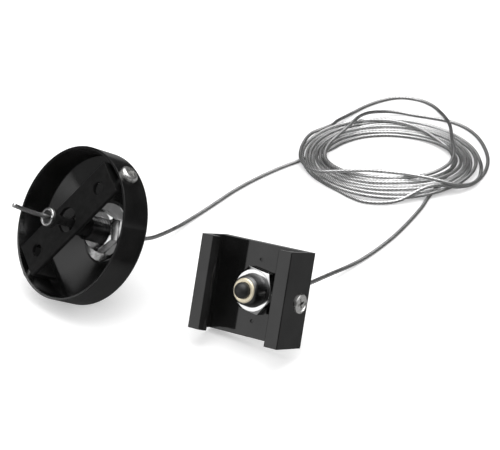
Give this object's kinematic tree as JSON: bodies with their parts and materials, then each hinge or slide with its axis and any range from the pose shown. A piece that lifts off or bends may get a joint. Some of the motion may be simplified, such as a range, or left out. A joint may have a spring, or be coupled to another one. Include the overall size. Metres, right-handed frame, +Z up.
{
  "type": "wire rope suspension kit",
  "caption": "Suspension kit for lighting track: black ceiling cup with crossbar and cable gripper, a loose coil of thin steel wire rope, and a black track clip.",
  "frame": {"origin": "on the surface the kit lies on, midway across the cup and the clip together, without the rope", "axes": "+Z up; -Y is the side that the mouths of the cup and the clip turn towards; the coil lies towards +X and +Y"},
  "size_m": [0.1968, 0.2532, 0.0577],
  "materials": {
    "black_paint": "gloss",
    "black_plating": "satin",
    "bright_chrome": "polished",
    "screw_plating": "bright zinc",
    "gunmetal": "dark nickel",
    "pale_brass": "satin",
    "black_rubber": "satin",
    "spring_steel": "plain",
    "steel_rope": "stranded"
  },
  "bodies": {
    "cup_and_rope": {"canopy_cup": "black_paint", "crossbar": "black_paint", "canopy_screw_upper": "screw_plating", "canopy_screw_lower": "screw_plating", "gripper_washer": "bright_chrome", "gripper_nut": "bright_chrome", "gripper_body": "black_plating", "gripper_cap": "black_plating", "gripper_spring": "spring_steel", "rope_core": "steel_rope", "rope_cup_lead": "steel_rope", "rope_coil": "steel_rope", "rope_loop": "steel_rope", "rope_clip_lead": "steel_rope", "rope_end_stop": "black_rubber"},
    "release": {"release_sleeve": "black_plating", "sleeve_collar": "black_plating", "sleeve_ring": "bright_chrome"},
    "ball_1": {"gripper_ball_1": "spring_steel"},
    "ball_2": {"gripper_ball_2": "spring_steel"},
    "ball_3": {"gripper_ball_3": "spring_steel"},
    "clip": {"clip_body": "black_paint", "clip_stud": "gunmetal", "clip_nut": "bright_chrome", "clip_cone": "gunmetal", "seat_ring": "pale_brass"},
    "screw": {"clamp_screw": "screw_plating", "screw_retainer": "spring_steel"},
    "jaw": {"clamp_jaw": "black_plating"}
  },
  "joints": [
    {"name": "release_push", "type": "slide", "parent": "cup_and_rope", "child": "release", "axis": [-0.6555, -0.5579, 0.509], "range_m": [0, 0.002], "stiffness_N_per_m": 400, "springref_m": -0.002, "deforming": ["gripper_spring"]},
    {"name": "ball_1_out", "type": "slide", "parent": "release", "child": "ball_1", "axis": [0.6481, -0.7615, 0], "range_m": [0, 0.00036]},
    {"name": "ball_2_out", "type": "slide", "parent": "release", "child": "ball_2", "axis": [0.0117, 0.6665, 0.7454], "range_m": [0, 0.00036]},
    {"name": "ball_3_out", "type": "slide", "parent": "release", "child": "ball_3", "axis": [-0.6598, 0.0951, -0.7454], "range_m": [0, 0.00036]},
    {"name": "clip_swivel", "type": "hinge", "parent": "cup_and_rope", "child": "clip", "pos_m": [0.0298, -0.0263, 0.0246], "axis": [-0.5624, -0.7199, 0.4067], "range_deg": [-180, 180]},
    {"name": "clamp_screw_turn", "type": "hinge", "parent": "clip", "child": "screw", "pos_m": [0.05179, -0.03061, 0.02155], "axis": [0.8118, -0.5741, 0.1066], "range_deg": [0, 1030]},
    {"name": "jaw_slide", "type": "slide", "parent": "clip", "child": "jaw", "axis": [-0.8118, 0.5741, -0.1066], "range_m": [0, 0.002]}
  ],
  "couplings": [
    {"joint": "ball_1_out", "follows": "release_push", "ratio": 0.17633},
    {"joint": "ball_2_out", "follows": "release_push", "ratio": 0.17633},
    {"joint": "ball_3_out", "follows": "release_push", "ratio": 0.17633},
    {"joint": "clamp_screw_turn", "follows": "jaw_slide", "rad_per_m": 8976}
  ]
}
